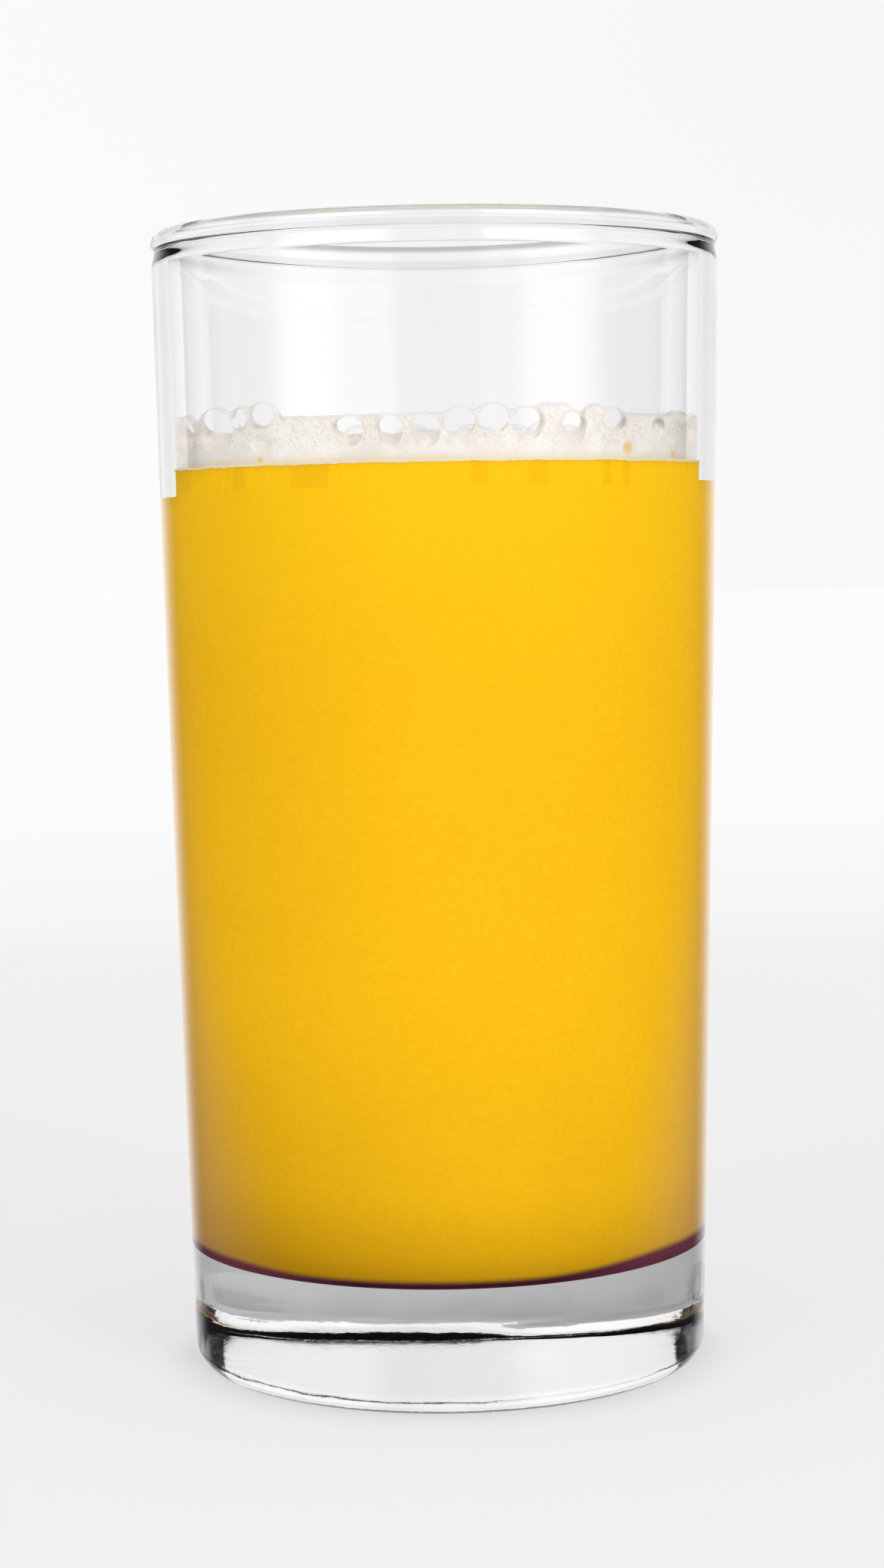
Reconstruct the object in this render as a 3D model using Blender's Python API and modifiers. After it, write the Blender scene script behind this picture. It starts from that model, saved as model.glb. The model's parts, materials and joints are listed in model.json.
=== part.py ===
"""A straight tumbler of orange juice with a ring of bubbly froth on top.

Units are metres and +Z is up. The origin is the middle of the foot, on the surface that the glass
stands on. Three solids: the glass, the juice in it and the froth that floats on the juice.
"""

import math
import random

import bpy

COLLECTION_NAME = "glass_of_orange_juice"
CUTTER_COLLECTION_NAME = "froth_bubbles"

# The glass
GLASS_HEIGHT = 0.1329
FOOT_RADIUS = 0.0302
RIM_RADIUS = 0.0330
SIDE_BULGE = 0.00013  # how far the side stands out from a straight cone at half height
WALL = 0.0021
RIM_BEAD_RADIUS = 0.00117
RIM_BEAD_START_ANGLE = math.radians(-42)
RIM_NECK_HEIGHT = 0.0023  # from the bead's middle down to where the straight wall ends
FLOOR_HEIGHT = 0.0140  # top of the heavy base
FLOOR_FILLET = 0.0040
HEEL_RADIUS = 0.0029
RECESS_RADIUS = 0.0250  # of the shallow hollow inside the ring that the foot stands on
RECESS_DEPTH = 0.0006
SIDE_STEPS = 4
ARC_STEPS = 4
RIM_BEAD_STEPS = 8
AROUND = 72
MERGE_DISTANCE = 0.00001

# What fills it
GAP = 0.0003
JUICE_TOP = 0.1055
FROTH_TOP_AT_WALL = 0.1103
FROTH_TOP_AT_CENTRE = 0.1094
FROTH_EDGE_FILLET = 0.0006
FROTH_TOP_STEPS = 4
FROTH_EDGE_STEPS = 3
FROTH_SMOOTH_ANGLE = math.radians(50)

# Bubbles along the wall that show from the front: bearing from the front in degrees with right
# positive, height of the middle, radius
FRONT_BUBBLES = (
    (-73.0, 0.1100, 0.00160),
    (-64.0, 0.1095, 0.00215),
    (-52.0, 0.1095, 0.00265),
    (-44.0, 0.1109, 0.00120),
    (-38.0, 0.1110, 0.00165),
    (-31.0, 0.1102, 0.00110),
    (-26.0, 0.1100, 0.00095),
    (-18.0, 0.1097, 0.00165),
    (-9.3, 0.1094, 0.00160),
    (-2.2, 0.1092, 0.00185),
    (4.6, 0.1098, 0.00165),
    (11.5, 0.1101, 0.00165),
    (18.4, 0.1097, 0.00175),
    (22.8, 0.1108, 0.00085),
    (26.2, 0.1108, 0.00095),
    (28.6, 0.1096, 0.00165),
    (33.9, 0.1106, 0.00090),
    (38.8, 0.1100, 0.00140),
    (45.0, 0.1102, 0.00080),
    (51.6, 0.1100, 0.00105),
    (57.0, 0.1103, 0.00075),
    (61.1, 0.1103, 0.00090),
    (67.6, 0.1096, 0.00190),
)
BACK_BUBBLE_BEARINGS = (76.0, 284.0)
BACK_BUBBLE_RADII = (0.0013, 0.0025)
BACK_BUBBLE_HEIGHT = 0.1098
INNER_BUBBLE_RADII = (0.0012, 0.0027)
INNER_BUBBLE_COUNT = 40
INNER_BUBBLE_SINK = 0.30  # share of a bubble's radius that its middle lies under the froth's top
INNER_BUBBLE_SPREAD = 0.82  # how close two bubbles may come, as a share of their radii together
BUBBLE_SEED = 11
PLACING_TRIES = 200
LARGE_BUBBLE = 0.0014
LARGE_SEGMENTS = 12
SMALL_SEGMENTS = 8

# Finishes: colour, roughness
GLASS_FINISH = ((1.0, 1.0, 1.0), 0.0)
GLASS_IOR = 1.5
JUICE_FINISH = ((0.96, 0.53, 0.01), 0.25)
JUICE_IOR = 1.35
FROTH_FINISH = ((0.90, 0.83, 0.72), 0.45)
FROTH_IOR = 1.33


def clear_scene():
    for obj in list(bpy.data.objects):
        bpy.data.objects.remove(obj)


def new_collection(name):
    collection = bpy.data.collections.new(name)
    bpy.context.scene.collection.children.link(collection)
    return collection


def new_material(name, finish, ior, transmission=0.0):
    color, roughness = finish
    material = bpy.data.materials.new(name)
    material.use_nodes = True
    shader = material.node_tree.nodes["Principled BSDF"]
    shader.inputs["Base Color"].default_value = (*color, 1.0)
    shader.inputs["Roughness"].default_value = roughness
    shader.inputs["Metallic"].default_value = 0.0
    shader.inputs["Transmission Weight"].default_value = transmission
    shader.inputs["IOR"].default_value = ior
    material.diffuse_color = (*color, 1.0)
    return material


def outer_radius(height):
    """Radius of the glass's outside: a slight taper down to the foot, faintly bowed."""
    share = height / GLASS_HEIGHT
    straight = FOOT_RADIUS + (RIM_RADIUS - FOOT_RADIUS) * share
    return straight + 4 * SIDE_BULGE * share * (1 - share)


def inner_radius(height):
    return outer_radius(height) - WALL


def arc(centre_radius, centre_height, radius, start, end, steps=ARC_STEPS):
    """Points (radius, height) along an arc from the angle start to end, both included."""
    angles = [start + (end - start) * i / steps for i in range(steps + 1)]
    return [
        (centre_radius + radius * math.cos(a), centre_height + radius * math.sin(a))
        for a in angles
    ]


def side(radius_at, start, end, steps=SIDE_STEPS):
    """Points up or down a side, from the height start to end, both included."""
    heights = [start + (end - start) * i / steps for i in range(steps + 1)]
    return [(radius_at(h), h) for h in heights]


def turned(name, profile, material, collection):
    """A solid of revolution about Z from (radius, height) points that run down its outer side."""
    mesh = bpy.data.meshes.new(name)
    points = [(radius, 0.0, height) for radius, height in profile]
    edges = [(i, i + 1) for i in range(len(points) - 1)]
    mesh.from_pydata(points, edges, [])
    obj = bpy.data.objects.new(name, mesh)
    collection.objects.link(obj)
    screw = obj.modifiers.new("turn", "SCREW")
    screw.axis = "Z"
    screw.angle = math.tau
    screw.steps = AROUND
    screw.render_steps = AROUND
    screw.use_merge_vertices = True
    screw.merge_threshold = MERGE_DISTANCE
    screw.use_smooth_shade = True
    mesh.materials.append(material)
    return obj


def glass_profile():
    """From the middle of the inner floor, up inside, over the rim and down to the foot's recess."""
    fillet_top = FLOOR_HEIGHT + FLOOR_FILLET
    fillet = arc(
        inner_radius(fillet_top) - FLOOR_FILLET, fillet_top, FLOOR_FILLET, -math.pi / 2, 0
    )
    bead_radius = RIM_RADIUS - RIM_BEAD_RADIUS
    bead_height = GLASS_HEIGHT - RIM_BEAD_RADIUS
    bead = arc(
        bead_radius,
        bead_height,
        RIM_BEAD_RADIUS,
        math.pi - RIM_BEAD_START_ANGLE,
        RIM_BEAD_START_ANGLE,
        RIM_BEAD_STEPS,
    )
    wall_top = bead_height - RIM_NECK_HEIGHT
    heel = arc(
        outer_radius(HEEL_RADIUS) - HEEL_RADIUS, HEEL_RADIUS, HEEL_RADIUS, 0, -math.pi / 2
    )
    return (
        [(0.0, FLOOR_HEIGHT)]
        + fillet
        + side(inner_radius, fillet_top, wall_top)[1:]
        + bead
        + side(outer_radius, wall_top, HEEL_RADIUS)[:-1]
        + heel
        + [(RECESS_RADIUS, 0.0), (RECESS_RADIUS - RECESS_DEPTH, RECESS_DEPTH), (0.0, RECESS_DEPTH)]
    )


def juice_profile():
    """From the middle of the juice's top, out, down the wall and in along the glass's floor."""
    bottom = FLOOR_HEIGHT + GAP
    fillet_top = FLOOR_HEIGHT + FLOOR_FILLET
    fillet_radius = FLOOR_FILLET - GAP
    fillet = arc(
        inner_radius(fillet_top) - FLOOR_FILLET, fillet_top, fillet_radius, 0, -math.pi / 2
    )
    walls = side(lambda height: inner_radius(height) - GAP, JUICE_TOP, fillet_top)
    return [(0.0, JUICE_TOP)] + walls[:-1] + fillet + [(0.0, bottom)]


def froth_top(radius):
    """Height of the froth between its bubbles: it climbs a little towards the wall."""
    share = (radius / inner_radius(FROTH_TOP_AT_WALL)) ** 2
    return FROTH_TOP_AT_CENTRE + (FROTH_TOP_AT_WALL - FROTH_TOP_AT_CENTRE) * share


def froth_profile():
    bottom = JUICE_TOP + GAP
    wall = inner_radius(FROTH_TOP_AT_WALL) - GAP
    edge = wall - FROTH_EDGE_FILLET
    radii = [edge * i / FROTH_TOP_STEPS for i in range(FROTH_TOP_STEPS)]
    top = [(radius, froth_top(radius)) for radius in radii]
    edge_height = froth_top(edge) - FROTH_EDGE_FILLET
    round_edge = arc(edge, edge_height, FROTH_EDGE_FILLET, math.pi / 2, 0, FROTH_EDGE_STEPS)
    return top + round_edge + [(inner_radius(bottom) - GAP, bottom), (0.0, bottom)]


def wall_bubble(bearing, height, radius):
    """(x, y, z, radius) of a bubble that leans on the wall at this bearing from the front."""
    distance = inner_radius(height) - GAP - radius
    angle = math.radians(bearing)
    return (distance * math.sin(angle), -distance * math.cos(angle), height, radius)


def back_bubbles(draw):
    """Bubbles of uneven sizes along the rest of the wall, each just touching the last."""
    bubbles = []
    bearing, end = BACK_BUBBLE_BEARINGS
    while True:
        radius = draw.uniform(*BACK_BUBBLE_RADII)
        half_width = math.degrees(radius / inner_radius(BACK_BUBBLE_HEIGHT))
        bearing += half_width
        if bearing > end:
            return bubbles
        bubbles.append(wall_bubble(bearing, BACK_BUBBLE_HEIGHT, radius))
        bearing += half_width


def inner_bubbles(draw, taken):
    """Bubbles spread over the froth's top inside the ring along the wall, largest first."""
    bubbles = list(taken)
    small, large = INNER_BUBBLE_RADII
    for i in range(INNER_BUBBLE_COUNT):
        radius = large + (small - large) * math.sqrt(i / INNER_BUBBLE_COUNT)
        reach = inner_radius(FROTH_TOP_AT_WALL) - GAP - radius
        for _ in range(PLACING_TRIES):
            distance = reach * math.sqrt(draw.random())
            angle = draw.uniform(0, math.tau)
            x, y = distance * math.cos(angle), distance * math.sin(angle)
            clear = all(
                math.hypot(x - other[0], y - other[1]) > INNER_BUBBLE_SPREAD * (radius + other[3])
                for other in bubbles
            )
            if clear:
                height = froth_top(distance) - INNER_BUBBLE_SINK * radius
                bubbles.append((x, y, height, radius))
                break
    return bubbles[len(taken) :]


def bubble_solid(index, bubble, collection):
    x, y, z, radius = bubble
    segments = LARGE_SEGMENTS if radius > LARGE_BUBBLE else SMALL_SEGMENTS
    bpy.ops.mesh.primitive_uv_sphere_add(
        segments=segments,
        ring_count=segments // 2,
        radius=radius,
        location=(x, y, z),
        rotation=(0, 0, math.atan2(y, x)),
    )
    obj = bpy.context.object
    obj.name = f"bubble_{index:03d}"
    for owner in list(obj.users_collection):
        owner.objects.unlink(obj)
    collection.objects.link(obj)
    obj.hide_render = True
    obj.display_type = "WIRE"


def fuse(obj, collection):
    """Joins every object of the collection to obj, then removes them."""
    union = obj.modifiers.new("fuse", "BOOLEAN")
    union.operation = "UNION"
    union.solver = "EXACT"
    union.operand_type = "COLLECTION"
    union.collection = collection
    bpy.context.view_layer.update()
    evaluated = obj.evaluated_get(bpy.context.evaluated_depsgraph_get())
    mesh = bpy.data.meshes.new_from_object(evaluated)
    obj.modifiers.clear()
    old = obj.data
    obj.data = mesh
    bpy.data.meshes.remove(old)
    mesh.name = obj.name
    for helper in list(collection.objects):
        bpy.data.objects.remove(helper)
    bpy.data.collections.remove(collection)


def make_froth(material, collection):
    froth = turned("froth", froth_profile(), material, collection)
    draw = random.Random(BUBBLE_SEED)
    bubbles = [wall_bubble(*front) for front in FRONT_BUBBLES]
    bubbles += back_bubbles(draw)
    bubbles += inner_bubbles(draw, bubbles)
    helpers = new_collection(CUTTER_COLLECTION_NAME)
    for index, bubble in enumerate(bubbles):
        bubble_solid(index, bubble, helpers)
    fuse(froth, helpers)
    froth.data.shade_smooth()
    froth.data.set_sharp_from_angle(angle=FROTH_SMOOTH_ANGLE)
    return froth


def build():
    clear_scene()
    parts = new_collection(COLLECTION_NAME)
    clear_glass = new_material("clear_glass", GLASS_FINISH, GLASS_IOR, transmission=1.0)
    orange_juice = new_material("orange_juice", JUICE_FINISH, JUICE_IOR)
    pale_froth = new_material("pale_froth", FROTH_FINISH, FROTH_IOR)
    turned("glass", glass_profile(), clear_glass, parts)
    turned("juice", juice_profile(), orange_juice, parts)
    make_froth(pale_froth, parts)


build()
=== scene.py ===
"""Looks of a glass of orange juice: clear glass, juice, froth and its bubbles.

Metres, +Z up, -Y towards the camera. A bearing is an angle round the glass from the front, with
right positive.
"""

import json
import math

import bmesh
import bpy
import numpy as np
from mathutils import Matrix, Vector, noise

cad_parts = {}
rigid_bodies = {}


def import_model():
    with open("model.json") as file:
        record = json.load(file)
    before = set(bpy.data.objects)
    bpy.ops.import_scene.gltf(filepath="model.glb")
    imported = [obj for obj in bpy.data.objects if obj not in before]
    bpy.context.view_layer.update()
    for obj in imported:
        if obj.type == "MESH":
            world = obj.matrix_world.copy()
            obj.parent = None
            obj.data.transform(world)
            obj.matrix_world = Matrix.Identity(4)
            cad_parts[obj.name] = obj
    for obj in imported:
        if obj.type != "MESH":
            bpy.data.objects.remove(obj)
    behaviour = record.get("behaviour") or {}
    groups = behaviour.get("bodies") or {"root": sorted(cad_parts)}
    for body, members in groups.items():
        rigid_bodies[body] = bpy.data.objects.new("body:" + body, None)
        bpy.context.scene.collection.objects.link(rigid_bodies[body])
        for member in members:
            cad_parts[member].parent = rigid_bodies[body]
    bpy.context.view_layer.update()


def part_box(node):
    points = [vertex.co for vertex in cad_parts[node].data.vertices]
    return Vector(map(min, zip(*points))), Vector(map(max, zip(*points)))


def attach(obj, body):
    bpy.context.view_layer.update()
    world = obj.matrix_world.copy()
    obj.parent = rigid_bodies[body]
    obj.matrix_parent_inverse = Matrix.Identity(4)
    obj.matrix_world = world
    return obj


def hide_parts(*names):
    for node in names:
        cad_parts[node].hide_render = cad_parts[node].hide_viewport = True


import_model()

MM = 0.001


def rgba(red, green, blue):
    return (red, green, blue, 1.0)


def grey(tone):
    return rgba(tone, tone, tone)


# Camera, fitted to the rim, the foot and the sides
CAMERA_DISTANCE = 0.3882
CAMERA_HEIGHT = 0.0965
CAMERA_PITCH_DOWN = math.radians(4.157)
CAMERA_ROLL = math.radians(-0.852)
SENSOR_MM = 36.0
LENS_MM = 75.6

# The glass, as in the solid
GLASS_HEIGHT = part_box("glass")[1].z
FOOT_RADIUS = 0.0302
RIM_RADIUS = 0.0330
SIDE_BULGE = 0.00013
WALL = 0.0021
RIM_BEAD_RADIUS = 0.00117
RIM_BEAD_START_ANGLE = math.radians(-42)
FLOOR_HEIGHT = 0.0140
FLOOR_FILLET = 0.0040
HEEL_RADIUS = 0.0029
RECESS_RADIUS = 0.0250
RECESS_DEPTH = 0.0006
NECK_HEIGHT = 0.0020
NECK_STEPS = 14
NECK_LEAN = math.radians(16)
HEEL_WAVES = 0.00007
HEEL_SQUARED = 0.5
HEEL_SQUARED_LEFT = 0.35
HEEL_ROUNDED = 0.35
RECESS_WAVES = 0.00003
WALL_WAVES = 0.000007
GLASS_AROUND = 540
HEEL_WAVES_TOP = 0.0065  # the heel's waves fade out below this height
HEEL_WAVES_FADE = 0.0035
RECESS_WAVES_FADE = 0.004

# The juice
JUICE_INTO_WALL = 0.00015
JUICE_AROUND = 720
JUICE_STEP = 0.00004  # height of the small steps in which the juice leaves the wall
WET_LINE = 0.1029  # up to here the juice wets the wall all round
WET_LINE_TILT = 0.00055
JUICE_LIP = 0.0148  # below it the juice turns under and is painted dark, as shade
JUICE_LIP_RISE_LEFT = 0.0004
JUICE_LIP_RISE_RIGHT = 0.0011
DRY_INSET = 0.00012  # thickness of the film of air between juice and wall above the wet line
DRY_STRETCH = (math.radians(69), math.radians(291))  # bearings that have such a film
DRY_EDGE = math.radians(2.5)
JUICE_TOP = 0.1055
JUICE_TOP_SWELL = 0.00022
JUICE_TOP_SWELL_BEARING = math.radians(15)

# The froth
FROTH_INSET = 0.00006
FROTH_AROUND = 720
FROTH_TOP_RINGS = 42
FROTH_CREST = 0.1107  # top of the froth along the wall between bubbles, in front
FROTH_CREST_BEHIND = 0.1098
FROTH_BODY_TOP = 0.1086
FROTH_CENTRE_TOP = 0.1087
FROTH_FLANK_RISE = 0.0007
FROTH_FLANK = (math.radians(36), math.radians(50))
FROTH_DIP = 0.00022  # the froth reaches this far below the juice's top
FROTH_MIDDLE = 0.108
FROTH_UNDERSIDE_INSET = 0.0012
FROTH_UNDERSIDE_DIP = 0.0003
FROTH_PRESSED = (0.00012, 0.00028)  # its lowest part is pressed into the wall, up to here
FROTH_PRESSED_DEPTH = 0.00004  # this much farther in than the juice
SKIRT_THICKNESS = 0.0013
SKIRT_CROWN = 0.0005
SKIRT_ROWS = 36
SKIRT_LIP = ((0.0001, 0.00008), (0.00030, 0.0), (0.00055, 0.0002))  # in from the wall, and down
BUBBLE_BORDER = 0.00032
SMALL_BUBBLE = 0.0007  # a bubble of no more half height than this has no film round it
FILM_WIDTH = 0.00050  # the froth is a wet film this near its crest or a bubble
FILM_FADE = 0.00030
FILM_LOWEST = 0.1089  # no film below this height, and all of it from FILM_RISE higher on
FILM_RISE = 0.0009
FILM_FROM_WALL = 0.0018
FILM_FROM_WALL_FADE = 0.0006
BUBBLE_DEPTH = 0.0012
SHALLOW_HOLLOW = 0.12
PIT_COUNT = 520
PIT_RADII = (0.00012, 0.00036)
PIT_HEIGHTS = (0.1072, 0.1109)
PIT_ROOM = 0.00006
DOME_COUNT = 150
DOME_RADII = (0.0005, 0.0026)
DOME_FLATNESS = 0.72
DOME_ROOM = 0.0001
DOME_TRIES = 300
# bearing in degrees, then height of the middle, half width and half height in mm
FRONT_BUBBLES = (
    (-73.0, 109.6, 1.5, 1.7),
    (-64.0, 109.2, 2.2, 2.1),
    (-51.9, 109.4, 2.9, 2.5),
    (-44.1, 110.7, 1.1, 1.1),
    (-38.1, 111.0, 1.6, 1.2),
    (-38.2, 107.9, 1.3, 0.9),
    (-31.0, 109.6, 0.5, 0.4),
    (-26.5, 109.9, 0.5, 0.4),
    (-17.9, 108.9, 1.6, 1.6),
    (-9.3, 108.9, 1.3, 1.6),
    (-2.2, 108.8, 1.5, 1.8),
    (4.6, 109.6, 1.6, 1.5),
    (11.5, 110.0, 1.6, 1.5),
    (18.4, 109.4, 1.7, 1.7),
    (22.8, 111.0, 0.6, 0.5),
    (26.2, 110.9, 0.8, 0.6),
    (28.6, 108.9, 1.4, 1.8),
    (33.9, 110.9, 0.8, 0.5),
    (34.7, 110.0, 0.8, 0.6),
    (34.9, 108.8, 0.5, 0.4),
    (38.8, 109.9, 1.4, 1.2),
    (51.6, 109.1, 0.88, 0.9),
    (55.1, 110.2, 0.5, 0.4),
    (57.9, 110.4, 0.5, 0.5),
    (61.1, 110.1, 0.9, 0.8),
    (67.6, 108.9, 1.9, 1.8),
    (56.0, 106.6, 0.6, 0.4),
)
# bearing in degrees, height and radius of the specks of pulp in the froth
PULP_SPECKS = ((42.2, 0.1069, 0.0010), (57.0, 0.1062, 0.0006), (-38.5, 0.1061, 0.0005))
BACK_BEARINGS = (76.0, 284.0)
BACK_HALF_WIDTHS = (0.0009, 0.0024)
BUBBLE_SEED = 11
SHARP_ANGLE = math.radians(60)

FLOOR_SIZE = 12.0
SOFTBOX_HEIGHT = math.radians(48)
SOFTBOX_LIGHT = 0.90
FILL_LIGHT = 0.70
LAMP_DISTANCE = 1.2
LAMP_TARGET = Vector((0, 0, 0.06))
LAMP_SIZE = (0.30, 0.35)
FLAG_EDGE_TONE = 0.40
DEEP_PATH = (2.4, 2.6)  # a light path of more bounces than this has been deep in the glass

# Tones of the glass, the juice, the froth and its bubbles
GLASS_SHADOW = grey(0.965)
JUICE_DARKER = rgba(0.93, 0.495, 0.005)
JUICE_BRIGHTER = rgba(0.98, 0.54, 0.007)
JUICE_SHADE = rgba(0.25, 0.11, 0.0)
# painted reflection and shade: the pale tan of the juice's flanks
JUICE_FLANK_REFLECTION_AND_SHADE = rgba(0.52, 0.31, 0.14)
# painted light: the juice near the froth is lighter
JUICE_PAINTED_LIGHT_NEAR_FROTH = rgba(0.99, 0.61, 0.008)
JUICE_STREAK = rgba(0.70, 0.30, 0.002)
# painted shade: the dark juice below its lip
JUICE_LIP_SHADE_MIDDLE = rgba(0.055, 0.008, 0.02)
JUICE_LIP_SHADE_SIDES = rgba(0.15, 0.035, 0.055)
# painted shade: the juice's bottom face on the glass's floor
JUICE_UNDERSIDE_SHADE = rgba(0.31, 0.22, 0.12)
JUICE_IN_BOUNCES = grey(0.35)  # grey, so that the juice doesn't tint what is round it
# painted shade: the juice as seen along light paths deep in the glass
JUICE_DEEP_SHADE_LOW = rgba(0.004, 0.003, 0.004)
JUICE_DEEP_SHADE_HIGH = rgba(0.27, 0.23, 0.17)
FROTH_DARKER = rgba(0.93, 0.865, 0.775)
FROTH_BRIGHTER = rgba(1.0, 0.96, 0.91)
FROTH_CELL = rgba(0.76, 0.73, 0.69)
FROTH_GRAIN = rgba(0.66, 0.60, 0.52)
FROTH_CREAM = rgba(0.86, 0.70, 0.42)
FROTH_GLOW = rgba(0.96, 0.94, 0.90)
FROTH_FILM = grey(0.985)
FROTH_GLOW_SHARE = 0.08
FROTH_FILM_SHARE = 0.62
PULP_TONE = rgba(0.90, 0.60, 0.14)
BUBBLE_CLEAR = grey(0.995)
BUBBLE_GLOSS = grey(0.9)

# Tones of the studio
PAPER = grey(0.90)
# painted shade: the floor in the glass's shadow, as seen through the glass
PAPER_SHADED_THROUGH_GLASS = rgba(0.60, 0.60, 0.61)
FLOOR_GLOW_NEAR = 0.875
FLOOR_GLOW_FAR = 0.970
BACKDROP_LEFT = 0.978
BACKDROP_RIGHT = 0.948
BACKDROP_EVEN = grey(0.963)
FRONT_WALL = rgba(0.56, 0.56, 0.58)
FRONT_BOXES = grey(1.65)
CEILING = grey(0.84)
FLAG_TONE = 0.01
MIRRORED_ROOM = rgba(0.06, 0.06, 0.065)
MIRRORED_LAMPS = grey(3.0)


def outer_radius(height):
    share = height / GLASS_HEIGHT
    straight = FOOT_RADIUS + (RIM_RADIUS - FOOT_RADIUS) * share
    return straight + 4 * SIDE_BULGE * share * (1 - share)


def inner_radius(height):
    return outer_radius(height) - WALL


def arc(centre_radius, centre_height, radius, start, end, steps):
    angles = np.linspace(start, end, steps + 1)
    return [
        (centre_radius + radius * math.cos(a), centre_height + radius * math.sin(a))
        for a in angles
    ]


def side(radius_at, start, end, steps):
    return [(radius_at(h), h) for h in np.linspace(start, end, steps + 1)]


def place(bearing, radius, height):
    return Vector((radius * math.sin(bearing), -radius * math.cos(bearing), height))


def face_outwards(mesh):
    work = bmesh.new()
    work.from_mesh(mesh)
    if work.calc_volume(signed=True) < 0:
        bmesh.ops.reverse_faces(work, faces=work.faces)
    work.to_mesh(mesh)
    work.free()


def smooth_step(value, low, high):
    """0 at low and 1 at high, with a soft start and end. high may be the smaller of the two."""
    share = min(1.0, max(0.0, (value - low) / (high - low)))
    return share * share * (3 - 2 * share)


def turn_between(a, b):
    """The angle from b to a, between -pi and pi."""
    return (a - b + math.pi) % math.tau - math.pi


def mesh_object(name, verts, faces, material, body="root"):
    mesh = bpy.data.meshes.new(name)
    mesh.from_pydata(verts, [], faces)
    face_outwards(mesh)
    mesh.shade_smooth()
    mesh.materials.append(material)
    obj = bpy.data.objects.new(name, mesh)
    bpy.context.scene.collection.objects.link(obj)
    if body:
        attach(obj, body)
    return obj


def revolve(name, profile, around, material, shift=None):
    """A closed turned surface from (radius, height) points whose first and last lie on the axis.

    shift(bearing, radius, height) gives how far a point moves outwards and upwards.
    """
    verts = [(0.0, 0.0, profile[0][1])]
    for radius, height in profile[1:-1]:
        for i in range(around):
            bearing = math.tau * i / around
            out, up = shift(bearing, radius, height) if shift else (0.0, 0.0)
            verts.append(place(bearing, radius + out, height + up))
    verts.append((0.0, 0.0, profile[-1][1]))
    faces = []
    last = len(verts) - 1
    rings = len(profile) - 2
    for i in range(around):
        j = (i + 1) % around
        faces.append((0, 1 + j, 1 + i))
        for ring in range(rings - 1):
            a, b = 1 + ring * around, 1 + (ring + 1) * around
            faces.append((a + i, a + j, b + j, b + i))
        end = 1 + (rings - 1) * around
        faces.append((end + i, end + j, last))
    return mesh_object(name, verts, faces, material)


class Nodes:
    """Short calls for the node tree of a material or of the world."""

    def __init__(self, tree):
        self.tree = tree
        tree.nodes.clear()

    def add(self, kind, inputs=(), **settings):
        node = self.tree.nodes.new(kind)
        for key, value in settings.items():
            setattr(node, key, value)
        for key, value in dict(inputs).items():
            self.put(node, key, value)
        return node

    def put(self, node, key, value):
        socket = node.inputs[key]
        if isinstance(value, bpy.types.NodeSocket):
            self.tree.links.new(value, socket)
        else:
            socket.default_value = value

    def math(self, operation, a, b=None, clamp=False):
        node = self.add("ShaderNodeMath", operation=operation, use_clamp=clamp)
        self.put(node, 0, a)
        if b is not None:
            self.put(node, 1, b)
        return node.outputs[0]

    def ramp(self, value, low, high, start=0.0, end=1.0):
        """value mapped smoothly from low..high to start..end."""
        node = self.add("ShaderNodeMapRange", interpolation_type="SMOOTHSTEP")
        self.put(node, "Value", value)
        self.put(node, "From Min", low)
        self.put(node, "From Max", high)
        self.put(node, "To Min", start)
        self.put(node, "To Max", end)
        return node.outputs["Result"]

    def mix(self, share, a, b):
        node = self.add("ShaderNodeMix", data_type="RGBA")
        self.put(node, "Factor", share)
        self.put(node, 6, a)
        self.put(node, 7, b)
        return node.outputs[2]

    def mix_shader(self, share, a, b):
        node = self.add("ShaderNodeMixShader")
        self.put(node, 0, share)
        self.put(node, 1, a)
        self.put(node, 2, b)
        return node.outputs[0]


def new_material(name):
    material = bpy.data.materials.new(name)
    material.use_nodes = True
    return material, Nodes(material.node_tree)


def glass_material():
    material, n = new_material("clear_glass")
    place_in = n.add("ShaderNodeTexCoord").outputs["Object"]
    stretched = n.add("ShaderNodeMapping", {"Vector": place_in, "Scale": (1.0, 1.0, 0.06)})
    waves = n.add("ShaderNodeTexNoise", {"Vector": stretched.outputs[0], "Scale": 420.0, "Detail": 2.0})
    north, height = n.add("ShaderNodeSeparateXYZ", {0: place_in}).outputs[1:]
    marks = n.add("ShaderNodeTexNoise", {"Vector": place_in, "Scale": 1500.0, "Detail": 3.0})
    heel = n.ramp(height, 0.0042, 0.0020)
    marks = n.math("MULTIPLY", marks.outputs[0], n.math("MULTIPLY", heel, 2.0))
    strength = n.math("MULTIPLY", heel, n.ramp(north, 0.0, 0.02, 0.02, 0.07))
    bump = n.add(
        "ShaderNodeBump",
        {
            "Strength": n.math("ADD", strength, 0.03),
            "Distance": 0.0002,
            "Height": n.math("ADD", waves.outputs[0], marks),
        },
    )
    glass = n.add(
        "ShaderNodeBsdfPrincipled",
        {
            "Base Color": grey(1.0),
            "Roughness": 0.0,
            "IOR": 1.5,
            "Transmission Weight": 1.0,
            "Normal": bump.outputs[0],
        },
    )
    path = n.add("ShaderNodeLightPath")
    lets_light_by = n.math("MAXIMUM", path.outputs["Is Shadow Ray"], path.outputs["Is Diffuse Ray"])
    clear = n.add("ShaderNodeBsdfTransparent", {"Color": GLASS_SHADOW})
    shader = n.mix_shader(lets_light_by, glass.outputs[0], clear.outputs[0])
    n.add("ShaderNodeOutputMaterial", {"Surface": shader})
    return material


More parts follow.
